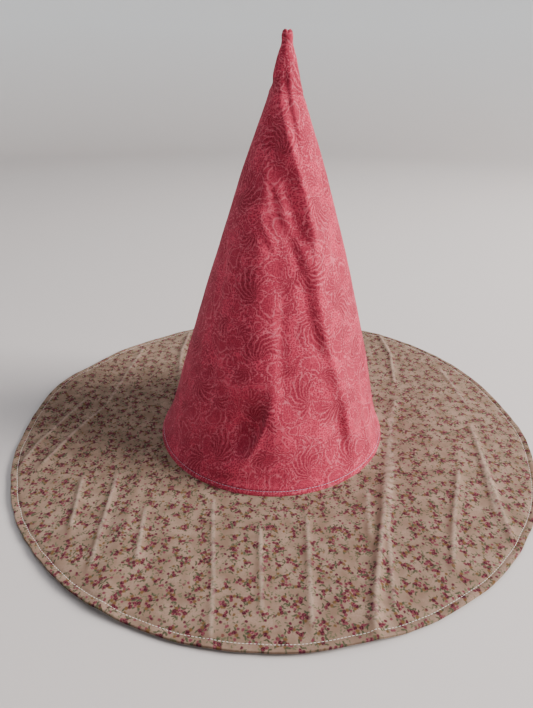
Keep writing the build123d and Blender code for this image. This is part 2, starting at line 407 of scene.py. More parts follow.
# %% The outer cotton
outside = run((294.9, 293, 5), (292.3, 283, 14), (282.2, 263, 20), (261.6, 14, 160), (13, 2.45, 15))
hem_up = np.array([2.6, 3.4, 4.4, 5.4, 6.4, turnup_top])
inside = run((3.0, 7, 5), (9, 262, 52), (266, 292.8, 14))
crown_columns = 300
section = [
    (outside, 0, 0),
    (seat + 0.43 - hem_round * np.sin(roll), hem_round * (1 - np.cos(roll)), 0.4 * roll),
    (hem_up, hem, fold_length + hem_up - seat),
    (hem_up[::-1], cloth + gap, fold_length + hem_up[::-1] - seat),
    (inside, cloth, 0),
]
crown_cloth = fill_mesh("crown_cloth", cone_ply(*joined(section), crown_columns), back_flaps(1.3))

# %% The stiff sheet, butted at the back
stiffener_depth = cloth + gap
stiffening_top, stiffening_foot = shoulder - 6, turnup_top + 1
# its rows are the outer cotton's, so it can't poke through a dent
between = (outside < stiffening_top) & (outside > stiffening_foot)
side = np.concatenate([[stiffening_top], outside[between], [stiffening_foot]])
slack = 0.35                   # how loosely it lies behind the cotton
section = [(side, stiffener_depth + slack, 0), (side[::-1], stiffener_depth + slack + stiffening, 0)]
crown_stiffening = fill_mesh("crown_stiffening", cone_ply(*joined(section), crown_columns, poles=False))


# %% The lining
def lining_push(z, angle):
    """The lining follows the crown's broad dents, softened, and hangs in its own shallow folds."""
    rows, columns = np.broadcast_arrays(np.asarray(z, float), np.asarray(angle, float))
    shape = sum(crown_push(rows, columns + step) for step in (-12, -6, 0, 6, 12)) / 5
    turn = np.radians(columns)
    points = np.stack([60 * np.sin(turn), 60 * np.cos(turn), rows * 0.35], -1)
    own = -0.5 - 0.8 * np.abs(ripple(points, 34, 21)) - 0.3 * ripple(points, 13, 22)
    return np.minimum(shape, crown_push(rows, columns) + 0.9) + own * ease((rows - 8) / 20)


lining_depth = stiffener_depth + stiffening + 1.6
lining_tip = height - 26
down = run((lining_tip - 2, lining_tip - 20, 10), (246, 3, 70), (2, 1.3, 2))
hem_up = np.array([1.4, 3.5, 6, 8.5])
up = run((1.3, 9, 8), (11, 246, 118), (248, lining_tip - 3, 12))
section = [
    (down, lining_depth, 0),
    (hem_up, lining_depth - gap, fold_length + hem_up),
    (hem_up[::-1], lining_depth - cloth - gap, fold_length + hem_up[::-1]),
    (0.93 - 0.43 * np.sin(roll), lining_depth - gap / 2 - hem_round * np.cos(roll),
     fold_length - 0.4 * roll),
    (up, lining_depth + cloth, 0),
]
lining_cloth = fill_mesh("crown_lining_cloth", cone_ply(*joined(section), 240, lining_push),
                         back_flaps(lining_depth - cloth - gap, lining_push))

# %% [markdown]
# ## The brim
# Two cotton rings with a stiff ring between them, folded in on each other at the edge. It lies on the
# floor, but not flat: it waves a little along its edge, and the folds of its storage run across it
# from front to back as sharp low ridges. One function lifts every ply alike, so they stay stacked.

# %% How the brim waves and creases
def around_edge(angle, stations):
    """Height at an angle from (angle, height) stations, eased from each to the next."""
    where = np.array([s[0] for s in stations] + [stations[0][0] + 360.0])
    value = np.array([s[1] for s in stations] + [stations[0][1]])
    turn = (angle - where[0]) % 360 + where[0]
    k = np.clip(np.searchsorted(where, turn, side="right") - 1, 0, len(stations) - 1)
    return value[k] + (value[k + 1] - value[k]) * ease((turn - where[k]) / (where[k + 1] - where[k]))


def crease(x, y, line, section):
    """A storage fold from front to back: its section's height at the distance to the right of it.

    The line is (x, y) points. The fold fades over its last 16 mm at both ends.
    """
    line = sorted(line, key=lambda p: p[1])
    low, high = line[0][1], line[-1][1]
    slope = (line[-1][0] - line[0][0]) / (high - low)
    away = (x - np.interp(y, [p[1] for p in line], [p[0] for p in line])) / math.hypot(1, slope)
    tall = np.interp(away, [s[0] for s in section], [s[1] for s in section])
    return tall * ease((y - low + 8) / 16) * ease((high + 8 - y) / 16)


def sharp(tall, left=8.0, right=3.0):
    """Section of a pressed fold: a slow rise from the left, a narrow top, a quick fall to the right."""
    return [(-left, 0), (-left * 0.5, 0.2 * tall), (-0.8, tall), (0.8, tall), (right + 0.3, 0.08 * tall),
            (right * 2.2, 0)]


crease_height = 2.9            # mm for a section that is 1 tall
edge_heights = [(-180, 1.2), (-152, 0.5), (-122, 1.0), (-104, 5.5), (-92, 2.0), (-83, 0.0), (-55, 0.5),
                (-35, 1.0), (-22, 1.4), (-12, 0.3), (2, 0.5), (13, 1.8), (21, 0.3), (30, 0.0), (46, 0.0),
                (78, 0.0), (95, 0.2), (112, 1.6), (135, 4.6), (152, 3.4)]
creases = [
    ([(113, 35), (95, -27), (83, -76), (73, -116), (64, -150), (57, -178), (53, -200)], sharp(1.0, 9)),
    ([(68, -81), (61, -134)], sharp(0.35, 5)),
    ([(-43, -92), (-42, -115), (-37, -164), (-35, -206)], sharp(0.25, 5)),
    ([(104, 20), (91, -60), (74, -128), (66, -186)], sharp(0.35, 4, 2.2)),
    ([(140, -65), (120, -117), (107, -158)], sharp(0.6, 6)),
    ([(168, -6), (159, -77), (153, -134)], sharp(0.55, 6)),
    ([(160, -53), (150, -117)], sharp(0.4, 5)),
    ([(-150, 20), (-166, -20), (-178, -66)], sharp(0.7, 7)),
    ([(-170, 30), (-190, -30), (-193, -62)], sharp(0.6, 6)),
    ([(-142, -75), (-134, -128)], sharp(0.6, 6)),
    ([(-118, -70), (-112, -160)], sharp(0.45, 5)),
    ([(-89, -105), (-85, -155)], sharp(0.5, 6)),
    ([(-100, -38), (-99, -190)], [(-12, 0), (0, 0.4), (12, 0)]),
    ([(-10, -120), (-8, -190)], sharp(0.3, 5)),
    ([(22, -110), (19, -200)], sharp(0.35, 6)),
    ([(118, 60), (126, 120), (122, 168)], sharp(0.6, 7)),
    ([(40, 104), (46, 150), (44, 200)], sharp(0.5, 7)),
    ([(-30, 100), (-36, 160), (-34, 202)], sharp(0.45, 6)),
    ([(-92, 70), (-98, 130), (-95, 180)], sharp(0.6, 7)),
    ([(-150, 20), (-146, 90), (-140, 140)], sharp(0.4, 6)),
    ([(176, 20), (170, 90)], sharp(0.4, 5)),
]


def brim_lift(x, y):
    """How far the brim stands above the floor at a place, never less than 0.

    The sum of the edge's waves, growing outwards, a low swell at the right, the storage folds, and
    a slow undulation; all of it fades to 0 under the crown.
    """
    radius = np.hypot(x, y)
    angle = np.degrees(np.arctan2(x, -y))
    lift = around_edge(angle, edge_heights) * ease((radius - 112) / 98) ** 1.3
    lift += 3.2 * hill((angle - 74 + 180) % 360 - 180, 42) * np.sin(
        np.pi * np.clip((radius - 97) / 112, 0, 1)) ** 1.5
    spot = np.stack([x, y * 0.6, 0 * x], -1)
    lift += 0.75 * (1 + ripple(spot, 62, 31)) + 0.25 * (1 + ripple(spot, 27, 32))
    for line, section in creases:
        lift += crease_height * crease(x, y, line, section)
    return np.maximum(lift, 0) * ease((radius - 96) / 22)


def brim_at(radius, angle, z):
    """Point of the brim's stack: pinched along the stitching, puffed beside it, and lifted."""
    radius, angle, z = np.broadcast_arrays(*(np.asarray(v, float) for v in (radius, angle, z)))
    turn = np.radians(angle)
    edge = np.stack([np.sin(turn), -np.cos(turn), 0 * turn], -1) * brim_radius
    wobble = 0.9 * ripple(edge, 60, 41) + 0.3 * ripple(edge, 17, 42)
    far = radius + wobble * ease((radius - 180) / 30)
    x, y = far * np.sin(turn), -far * np.cos(turn)
    middle = brim_thickness / 2
    out = radius - stitch_line
    squeeze = 1 - 0.62 * hill(out, 1.1) + 0.10 * hill(out - 3.4, 2.4) + 0.10 * hill(out + 4.5, 3.0)
    squeeze = np.minimum(squeeze, 1 + 0.1 * (z > middle))
    x = x + lean_at_foot * (1 - ease((radius - 97) / 80))
    return np.stack([x, y, middle + (z - middle) * squeeze + brim_lift(x, y)], -1)


# %% The upper and lower cotton of the brim
def brim_ply(*rows_at):
    """Rings of a brim ply. rows_at are its (kind, first, second) rows in order.

    Rows of kind "up" stand inside the crown's flare at (heights, depths); rows of kind "out" lie at
    (radii, heights). The second may be one number for all the rows.
    """
    turn = np.linspace(-180, 180, brim_columns + 1)
    way = np.radians(turn)
    corner = float(crown_radius(seat)) - 1
    grid, uv = [], []
    for kind, first, second in rows_at:
        first, second = first[:, None], np.broadcast_to(second, len(first))[:, None]
        if kind == "up":
            grid.append(crown_at(first, turn[:-1], second))
            far = corner - (first - seat)
        else:
            grid.append(brim_at(first, turn[:-1], second))
            far = first
        uv.append(np.stack([far * np.sin(way), -far * np.cos(way)], -1))
    return rings(np.concatenate(grid), np.concatenate(uv))


rise = np.array([turnup_top, 6.4, 4.8, 3.2, 2.4])
# all three plies share these columns and radii, so none pokes through another at a fold
brim_columns = 660
flat_radii = run((93.5, 127, 12), (129.5, 199.5, 42))
top_radii = np.concatenate([flat_radii, run((201, 203.6, 3), (204.4, 206.8, 5), (207.4, 209.4, 4))])
over = np.linspace(0, np.pi, 6)
edge_radii, edge_z = brim_radius - hem_round + hem_round * np.sin(over), hem_round * np.cos(over)
turned_in = run((202, 208, 4))
inner = np.concatenate([[207.4, 205.2, 203.0], flat_radii[:0:-1]])
brim_upper = fill_mesh("brim_upper_cloth", brim_ply(
    ("up", rise, 0.9),
    ("out", top_radii, brim_thickness),
    ("out", edge_radii, brim_thickness - hem_round + edge_z),
    ("out", turned_in[::-1], brim_thickness - hem),
    ("out", turned_in, brim_thickness - cloth - gap),
    ("out", inner, brim_thickness - cloth),
    ("up", rise[::-1], 0.9 + cloth)))
low_radii = np.concatenate([run((209.4, 207.4, 4), (206.8, 204.4, 5)), [202.0], flat_radii[::-1]])
brim_lower = fill_mesh("brim_lower_cloth", brim_ply(
    ("out", edge_radii, hem_round + edge_z),
    ("out", low_radii, 0.0),
    ("up", np.concatenate([[0.4, 1.2], rise[::-1]]), 1.35 + cloth),
    ("up", rise, 1.35),
    ("out", inner[::-1], cloth),
    ("out", turned_in, cloth + gap),
    ("out", turned_in, hem)))


def mark_ridge_highlight(piece):
    """Stores how near each point is to the top of a pressed fold: the cube of its share of the height.

    The share sets a painted highlight along the fold tops; broad swells, whose sections have only three
    points, get none.
    """
    places = np.empty(len(piece.data.vertices) * 3, np.float32)
    piece.data.vertices.foreach_get("co", places)
    x, y = places.reshape(-1, 3)[:, :2].T / MM
    pressed = [(line, section) for line, section in creases if len(section) > 3]
    ridge_highlight_share = np.max([crease(x, y, line, section) / max(tall for _, tall in section)
                   for line, section in pressed], axis=0) ** 3
    piece.data.attributes.new("ridge_highlight", "FLOAT", "POINT").data.foreach_set("value", ridge_highlight_share.astype(np.float32))


# stores where the brim's fold tops get a painted highlight
mark_ridge_highlight(brim_upper)
stiff_radii = np.append(flat_radii, 201.5)
brim_stiffening = fill_mesh("brim_stiffening", brim_ply(
    ("out", stiff_radii, brim_thickness - cloth - 2 * gap),
    ("out", stiff_radii[::-1], cloth + 2 * gap)))

# %% [markdown]
# ## The stitches
# A row of machine stitching is a row of short thread arcs that dive into the cloth at both ends. One
# curve with a dash pattern would be simpler, but it would float over the creases. Here every stitch
# is a small tube of its own, laid on the same functions that shape the cloth.

# %% Small tubes for every stitch
def stitch_row(name, place, count, length, pitch, rise=0.16, width=0.42, thick=0.26, start=0.0):
    """Stitches as closed tubes, thickest in the middle: each is length long, one every pitch.

    place(t, lift) gives the points of the row at the run t in mm, standing lift mm off the cloth.
    """
    steps, sides = 5, 6
    t = np.linspace(-1, 1, steps)
    at = start + (np.arange(count)[:, None] + 0.5) * pitch + t * length / 2
    lift = rise * (1 - t ** 2) - 0.08
    line = place(at, lift + 0 * at)
    out = place(at, lift + 0.5 + 0 * at) - line
    out /= np.linalg.norm(out, axis=-1, keepdims=True)
    ahead = np.gradient(line, axis=1)
    ahead /= np.linalg.norm(ahead, axis=-1, keepdims=True)
    across = np.cross(ahead, out)
    turn = np.linspace(0, 2 * np.pi, sides, endpoint=False)
    swell = (0.35 + 0.65 * np.sqrt(1 - t ** 2 * 0.98))[None, :, None, None]
    tube = (line[:, :, None] + swell * (np.cos(turn)[:, None] * across[:, :, None] * width / 2
                                        + np.sin(turn)[:, None] * out[:, :, None] * thick / 2))
    one = np.arange(steps * sides)
    walls = quads(*np.indices((steps - 1, sides)), steps, sides)
    shape = np.concatenate([walls, one[:sides], one[:-sides - 1:-1]])
    corners = (np.arange(count)[:, None] * len(one) + shape).ravel()
    sizes = np.tile([4] * (steps - 1) * sides + [sides, sides], count)
    return fill_mesh(name, (tube.reshape(-1, 3), corners, sizes, None))


def on_brim(radius, z, way):
    """Places along a ring of the brim; way is +1 for the upper side and -1 for the lower one."""
    return lambda run_mm, lift: brim_at(radius, np.degrees(run_mm / radius), z + way * lift)


def on_crown(z, depth, radius, push=None):
    """Places along a ring of the crown at a height and a depth."""
    return lambda run_mm, lift: crown_at(z, np.degrees(run_mm / radius), depth - lift, push)


def up_back(depth, push=crown_push):
    """Places up the back seam at a depth, on the inner side."""
    return lambda run_mm, lift: crown_at(run_mm, 180.0, depth + lift, push(run_mm, 180.0))


def ring_row(name, place, radius, pitch, space=0.42, length=None, shift=0.0, **shape):
    """A ring of stitches with space between them, at the nearest pitch that makes its ends meet.

    shift is the share of a pitch by which the ring is turned.
    """
    count = round(2 * math.pi * radius / pitch)
    pitch = 2 * math.pi * radius / count
    return stitch_row(name, place, count, length or pitch - space, pitch, start=shift * pitch, **shape)


brim_needle = ring_row("brim_edge_needle_stitches", on_brim(stitch_line, brim_thickness, 1),
                       stitch_line, 2.1, 0.5, width=0.34)
brim_bobbin = ring_row("brim_edge_bobbin_stitches", on_brim(stitch_line, 0.0, -1), stitch_line, 2.1, 0.5,
                       shift=0.5, rise=0.10, width=0.34)
brim_seam = ring_row("brim_edge_seam_stitches", on_brim(edge_seam, brim_thickness / 2, 1), edge_seam, 3.0,
                     0.5, rise=0.05, thick=0.15)
stitch_radius = float(crown_radius(crown_stitch))
inner_face = 1.85              # depth of the brim's turned-up cloth
crown_needle = ring_row("crown_hem_needle_stitches", on_crown(crown_stitch, 0.0, stitch_radius),
                        stitch_radius, 2.4)
crown_bobbin = ring_row("crown_hem_bobbin_stitches", on_crown(crown_stitch, inner_face, stitch_radius),
                        stitch_radius, 2.4, shift=0.5, rise=-0.05, thick=0.15)
crown_seam = ring_row("crown_to_brim_stitches", on_crown(seat + 1.0, inner_face, stitch_radius),
                      stitch_radius, 2.4, rise=-0.05, thick=0.15)
back_seam = dict(count=97, length=2.0, pitch=2.4, rise=0.05, thick=0.15, start=10.0)
crown_back = stitch_row("crown_back_seam_stitches", up_back(1.75), **back_seam)
lining_back = stitch_row("lining_back_seam_stitches", up_back(2.2, lining_push), **back_seam)
slip_radius = foot_radius - 2.0
lining_slip = ring_row("lining_hem_slip_stitches", on_crown(0.9, 1.95, slip_radius, 0.0), slip_radius,
                       7.0, length=2.2, rise=0.05, thick=0.15)

# %% [markdown]
# ## Cotton prints
# Both fabrics are printed quilting cotton: dull, slightly fuzzy, with a plain weave that is almost too
# fine to see. The print could be painted on an image, but here it is worked out by nodes on the flat
# cut cloth, so it bends with every fold and breaks at the back seam as a real print does.
# One helper adds a node with its settings and wires.

# %% Node helper and colours
main_choice = {"Math": "operation", "VectorMath": "operation", "TexNoise": "noise_dimensions",
               "TexVoronoi": "voronoi_dimensions", "Mix": "data_type"}


def add(tree, kind, *wires, **settings):
    """Adds a shader node. Lower-case settings are its properties and capitalised ones its sockets.

    A second word in kind, as in "Math SINE", is the node's main choice, from the table above.
    Each wire goes to the next socket in use: a node, a socket, a number, a colour, or None to skip.
    """
    kind, *choice = kind.split()
    node = tree.nodes.new("ShaderNode" + kind)
    for word in choice:
        setattr(node, main_choice[kind], word)
    for key, value in settings.items():
        if key[0].islower():
            setattr(node, key, value)
    named = [(node.inputs[key.replace("_", " ")], value) for key, value in settings.items()
             if not key[0].islower()]
    placed = zip([socket for socket in node.inputs if socket.enabled], wires)
    for socket, value in [*placed, *named]:
        if isinstance(value, bpy.types.Node):
            value = next(out for out in value.outputs if out.enabled)
        if isinstance(value, bpy.types.NodeSocket):
            tree.links.new(value, socket)
        elif value is not None:
            socket.default_value = value
    return node


def linear(code):
    """Linear colour of an sRGB hex code: c / 12.92 when dark, else ((c + 0.055) / 1.055) ^ 2.4."""
    parts = [int(code[k:k + 2], 16) / 255 for k in (1, 3, 5)]
    return (*[c / 12.92 if c <= 0.04045 else ((c + 0.055) / 1.055) ** 2.4 for c in parts], 1.0)


def new_material(name):
    """An empty node material and its tree."""
    material = bpy.data.materials.new(name)
    material.use_nodes = True
    material.node_tree.nodes.clear()
    return material, material.node_tree


def below(tree, value, edge, soft):
    """A mask that is 1 where the value is under the edge and 0 above it, softened over soft."""
    return add(tree, "MapRange", value, edge - soft, edge + soft, 1.0, 0.0, clamp=True)


def shaken(tree, place, wander, size):
    """A place pushed about by smooth noise: up to half of wander mm each way, in lumps of size mm."""
    noise = add(tree, "TexNoise 2D", place, Scale=1 / size, Detail=1.0)
    shift = add(tree, "VectorMath SUBTRACT", noise.outputs["Color"], (0.5, 0.5, 0.5))
    return add(tree, "VectorMath MULTIPLY_ADD", shift, wander, place)


def scattered(tree, place, offset, size, jitter):
    """The place within scattered cells about size mm apart, turned by each cell's random angle.

    Also gives three random numbers of the cell. The offset keeps two layers of cells from matching.
    """
    moved = add(tree, "VectorMath ADD", place, (*offset, 0))
    cell = add(tree, "TexVoronoi 2D", moved, Scale=1 / size, Randomness=jitter)
    local = add(tree, "VectorMath SUBTRACT", moved, cell.outputs["Position"])
    dice = add(tree, "SeparateColor", cell.outputs["Color"])
    turn = add(tree, "Math MULTIPLY", dice.outputs[0], 2 * math.pi)
    return add(tree, "VectorRotate", local, rotation_type="Z_AXIS", Angle=turn), dice


def spot(tree, local, where, size, angle=0.0, edge=0.25):
    """Mask of an oval printed spot: its centre, half sizes in mm, and turn in degrees."""
    moved = add(tree, "Mapping", local, vector_type="TEXTURE", Location=(*where, 0),
                Rotation=(0, 0, math.radians(angle)), Scale=(*size, 1))
    far = add(tree, "VectorMath LENGTH", moved).outputs["Value"]
    return below(tree, far, 1.0, edge)


def printed(tree, under, *layers):
    """A colour with layers of ink over it, one after another. A colour is a hex code or a socket.

    A layer is an ink and its masks: it lies as thickly as its masks multiplied together.
    """
    for ink, thick, *masks in layers:
        for mask in masks:
            thick = add(tree, "Math MULTIPLY", thick, mask)
        colours = [linear(colour) if isinstance(colour, str) else colour for colour in (under, ink)]
        under = add(tree, "Mix RGBA", thick, *colours).outputs["Result"]
    return under


def weave_bump(tree, place, thread, strength):
    """Bump of a plain weave: the sum of two crossed rows of threads, with uneven slubs over it.

    Real quilting cotton has about 30 threads a centimetre. They are drawn as coarse as thread mm.
    """
    parts = add(tree, "SeparateXYZ", place)
    phases = [add(tree, "Math MULTIPLY", parts.outputs[k], 2 * math.pi / thread) for k in (0, 1)]
    warp, weft = (add(tree, "Math SINE", phase) for phase in phases)
    crossed = add(tree, "Math MULTIPLY", warp, weft)
    slub = add(tree, "TexNoise 2D", place, Scale=1 / 1.6, Detail=3.0)
    uneven = add(tree, "Math MULTIPLY_ADD", slub.outputs[0], 1.6, crossed)
    return add(tree, "Bump", Height=uneven, Strength=strength, Distance=0.0002)


def cotton(tree, colour, bump, rough=0.92):
    """Dyed cotton: no gloss to speak of, and a faint fuzz that catches light at grazing angles."""
    surface = add(tree, "BsdfPrincipled", Base_Color=colour, Normal=bump, Roughness=rough, IOR=1.5,
                  Specular_IOR_Level=0.12, Sheen_Weight=0.04, Sheen_Roughness=0.6)
    add(tree, "OutputMaterial", surface)


def cloth_place(tree, wander, wander_size):
    """Place on the flat cloth in mm, and the same place pushed about by smooth noise."""
    flat = add(tree, "UVMap", uv_map="cloth")
    place = add(tree, "VectorMath SCALE", flat, Scale=1 / MM)
    return place, shaken(tree, place, (wander, wander, wander), wander_size)


# %% [markdown]
# ## The flowered cotton
# Tiny roses in loose groups of three with an ochre bud and grey-green leaves, and single buds between
# them, on an unbleached ground. Two sizes of scattered cells carry the motifs: one sprig in each.

# %% Flowered cotton for the brim
# the last of these colours is the pale of a painted highlight along the brim's fold tops
ground, ground_dark, ground_fleck, painted_highlight_colour = "#8e7667", "#776051", "#7c6453", "#c0aa9a"
ochre, rose_leaf = "#604528", "#40422e"


def flowered_cotton(name):
    """Scattered sprigs printed on beige cotton."""
    material, tree = new_material(name)
    place, shaky = cloth_place(tree, 0.9, 1.3)
    cloud = add(tree, "TexNoise 2D", place, Scale=1 / 13, Detail=5.0)
    fleck = add(tree, "TexNoise 2D", place, Scale=1 / 1.1, Detail=2.0)
    colour = printed(tree, ground, (ground_dark, below(tree, cloud.outputs[0], 0.5, 0.16)),
                     (ground_fleck, below(tree, fleck.outputs[0], 0.42, 0.12), 0.7))
    # single buds, each with a few leaves
    for size, offset, share, bud, leaf in ((6.4, 0.0, 0.62, "#66303a", "#56573f"),
                                           (7.6, 431.0, 0.72, "#4c1826", "#474936"),
                                           (9.2, 877.0, 0.6, "#6b343e", "#55563f")):
        turned, dice = scattered(tree, shaky, (offset, offset * 0.7), size, 0.95)
        shown = below(tree, dice.outputs[1], share, 0.01)
        for where, spread, angle in (((1.4, 0.7), (1.0, 0.45), 35), ((-0.2, 1.6), (0.95, 0.42), -60)):
            colour = printed(tree, colour, (leaf, spot(tree, turned, where, spread, angle, 0.35), 0.85))
        tint = printed(tree, bud, (ochre, below(tree, dice.outputs[2], 0.22, 0.01)))
        colour = printed(tree, colour, (tint, spot(tree, turned, (-0.4, -0.5), (0.95, 0.8), 0, 0.3), shown))
    # groups of roses
    petal = add(tree, "TexNoise 2D", shaky, Scale=1 / 0.9, Detail=1.0)
    for size, offset, far, roses in ((10.6, 0.0, 0.9, 2), (15.5, 653.0, 1.0, 3)):
        turned = scattered(tree, shaky, (offset, offset * 0.6), size, 0.8)[0]
        for where, spread, angle in (((-2.8, 1.3), (1.2, 0.55), 20), ((-1.7, 2.4), (1.1, 0.5), 70),
                                     ((2.7, -2.3), (1.2, 0.55), -30), ((1.4, 2.8), (1.1, 0.5), 110)):
            colour = printed(tree, colour, (rose_leaf, spot(tree, turned, where, spread, angle, 0.35)))
        colour = printed(tree, colour, (ochre, spot(tree, turned, (2.1 * far, -0.9), (1.1, 0.95), 20, 0.3)))
        for where, spread, light, dark in (((0.9, 0.9 * far), (1.4, 1.25), "#5e2730", "#350917"),
                                           ((-1.3 * far, 0.1), (1.15, 1.0), "#6f353e", "#461320"),
                                           ((0.1, -1.6 * far), (1.0, 0.85), "#80484f", "#551f2c"),
                                           )[:roses]:
            petals = printed(tree, light, (dark, below(tree, petal.outputs[0], 0.5, 0.06)))
            colour = printed(tree, colour, (petals, spot(tree, turned, where, spread, 0, 0.25)))
    # painted highlight: the tops of the pressed folds are painted pale, as where the ridges catch the light;
    # cloth without the attribute reads 0
    ridge_highlight = add(tree, "Attribute", attribute_name="ridge_highlight").outputs["Fac"]
    ridge_highlight_mix = add(tree, "MapRange", ridge_highlight, 0.3, 1.0, 0.0, 0.3, clamp=True)
    colour = printed(tree, colour, (painted_highlight_colour, ridge_highlight_mix))
    cotton(tree, colour, weave_bump(tree, place, 0.7, 0.25))
    print("material", name, len(tree.nodes), "nodes")
    return material


flowered = flowered_cotton("printed_cotton_flowers")

# %% [markdown]
# ## The scrolled cotton
# A tone-on-tone print: rose on rose, with fans of curling leaves, bent drops, strings of dots and fine
# scrolls that fill every space. Each motif is drawn by a formula inside a large random cell, in polar
# coordinates about the point that its leaves grow from.

# %% Scrolled cotton for the crown
rose, rose_deep, rose_dark, rose_light = "#bc3b53", "#8c253b", "#6d1428", "#da7887"
rose_cloud, drop_fill, leaf_fill = "#ae354b", "#a12f44", "#9d2e43"


def contours(tree, place, size, levels):
    """How far smooth noise is from its next contour: 0 on a line and 0.5 halfway between two."""
    noise = add(tree, "TexNoise 2D", place, Scale=1 / size, Detail=1.0, Roughness=0.35)
    many = add(tree, "Math MULTIPLY", noise.outputs[0], levels)
    return add(tree, "Math PINGPONG", many, 0.5)


def near_to(tree, value, target, width):
    """A thin mask where a value is within a width of its target."""
    away = add(tree, "Math SUBTRACT", value, target)
    return below(tree, add(tree, "Math ABSOLUTE", away), width, width * 0.5)


def leaf_fan(tree, place, size, lobes, reach, offset):
    """A fan of curling leaves in each cell: masks of its leaves, their dark hearts, their pale edges
    and the ground close round them.

    About the point the leaves grow from, the angle is bent by the distance, and cut into lobes.
    With e the distance from a lobe's middle line (0 to 1) and s the distance from the root over the
    lobe's length, the shape number is e^2 + s^8: under 1 inside, near 1 at the edge.
    """
    turned, dice = scattered(tree, place, (offset, offset * 0.6), size, 0.6)
    rooted = add(tree, "VectorMath ADD", turned, (0, reach * 0.45, 0))
    parts = add(tree, "SeparateXYZ", rooted)
    far = add(tree, "Math DIVIDE", add(tree, "VectorMath LENGTH", rooted).outputs["Value"], reach)
    angle = add(tree, "Math ARCTAN2", parts.outputs[0], parts.outputs[1])
    side = add(tree, "Math MULTIPLY_ADD", add(tree, "Math GREATER_THAN", dice.outputs[1], 0.5), 2.0, -1.0)
    bend = add(tree, "Math MULTIPLY", add(tree, "Math POWER", far, 0.8), side)
    curled = add(tree, "Math MULTIPLY_ADD", bend, 1.5, angle)
    lobe_run = add(tree, "Math MULTIPLY", curled, lobes / 2.7)
    within = add(tree, "Math PINGPONG", lobe_run, 0.5)
    off_line = add(tree, "Math POWER", add(tree, "Math MULTIPLY_ADD", within, -2.0, 1.0), 2.0)
    wide = add(tree, "Math ABSOLUTE", curled)
    # every lobe has a length of its own, and the outer ones are shorter
    whole_lobe = add(tree, "Math FLOOR", add(tree, "Math ADD", lobe_run, 0.5))
    own = add(tree, "Math SINE", add(tree, "Math MULTIPLY", whole_lobe, 2.4))
    length = add(tree, "Math MULTIPLY_ADD", own, 0.12, add(tree, "Math MULTIPLY_ADD", wide, -0.28, 1.0))
    ratio = add(tree, "Math DIVIDE", far, length)
    shape = add(tree, "Math ADD", add(tree, "Math POWER", ratio, 8.0), off_line)
    sector_mask = below(tree, wide, 1.42, 0.04)
    leaves = add(tree, "Math MULTIPLY", below(tree, shape, 1.0, 0.06), sector_mask)
    narrow = add(tree, "Math MULTIPLY_ADD", add(tree, "Math POWER", ratio, 6.0), 0.5, off_line)
    heart = add(tree, "Math MULTIPLY", below(tree, narrow, 0.17, 0.08), sector_mask)
    edge = add(tree, "Math MULTIPLY", near_to(tree, shape, 1.0, 0.2), below(tree, wide, 1.5, 0.05))
    return leaves, heart, edge, below(tree, far, 1.22, 0.1)


def bent_drop(tree, place, size, reach, offset):
    """A bent drop in each cell: its distance number, 1 on its outline, and a run of 2 mm scallops.

    The place is bent sideways by the square of the height, and the width shrinks towards the tip.
    The scallops are the absolute sine of the angle round the drop, times how many fit round it.
    """
    turned = scattered(tree, place, (offset, offset * 0.8), size, 0.75)[0]
    parts = add(tree, "SeparateXYZ", turned)
    up = add(tree, "Math DIVIDE", parts.outputs[1], reach)
    bend = add(tree, "Math MULTIPLY_ADD", add(tree, "Math MULTIPLY", up, up), -0.5 * reach,
               parts.outputs[0])
    width = add(tree, "Math MULTIPLY_ADD", up, -0.34, 0.6)
    across = add(tree, "Math DIVIDE", add(tree, "Math DIVIDE", bend, reach), width)
    flat = add(tree, "CombineXYZ", across, up)
    around = add(tree, "Math ARCTAN2", across, up)
    waves = add(tree, "Math SINE", add(tree, "Math MULTIPLY", around, round(reach * 0.75)))
    far = add(tree, "VectorMath LENGTH", flat).outputs["Value"]
    return far, add(tree, "Math ABSOLUTE", waves)


